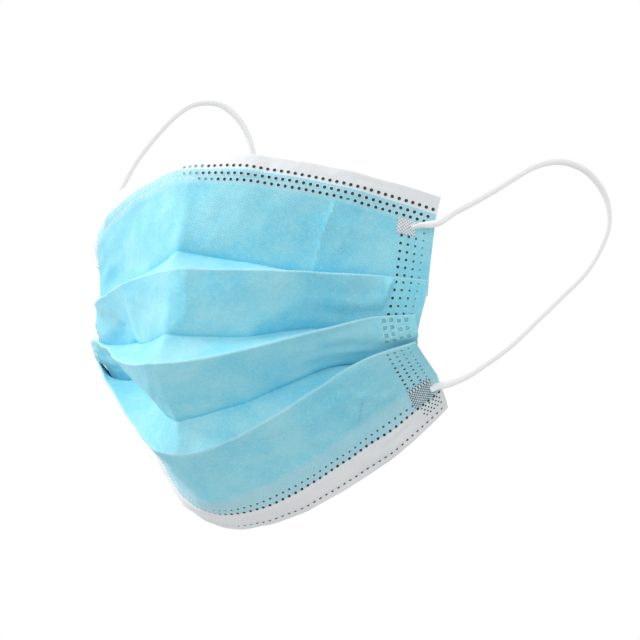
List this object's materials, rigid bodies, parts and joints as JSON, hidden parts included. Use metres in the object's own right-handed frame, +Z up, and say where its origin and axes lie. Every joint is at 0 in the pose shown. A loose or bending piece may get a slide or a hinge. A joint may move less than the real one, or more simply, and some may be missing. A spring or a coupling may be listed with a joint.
{
  "type": "surgical face mask",
  "caption": "Blue and white pleated surgical face mask, opened into its worn bowl, with white elastic ear loops.",
  "frame": {"origin": "middle of the lower edge, the wired hem's edge that sits on the nose bridge (the mask is shown upside down, so this edge is at the bottom)", "axes": "+X to the picture's right across the mask, +Y from the mask's front into its hollow, +Z up as in the picture"},
  "size_m": [0.181, 0.1387, 0.1728],
  "materials": {
    "blue_nonwoven": "matt spunbond nonwoven with a fine diagonal emboss",
    "white_nonwoven": "matt spunbond nonwoven",
    "elastic": "soft knitted elastic cord"
  },
  "bodies": {
    "root": {"outer_ply": "blue_nonwoven", "inner_ply": "white_nonwoven", "ear_loop_right": "elastic", "ear_loop_left": "elastic", "loop_end_upper_right": "elastic", "loop_end_lower_right": "elastic", "loop_end_upper_left": "elastic", "loop_end_lower_left": "elastic"}
  },
  "joints": []
}
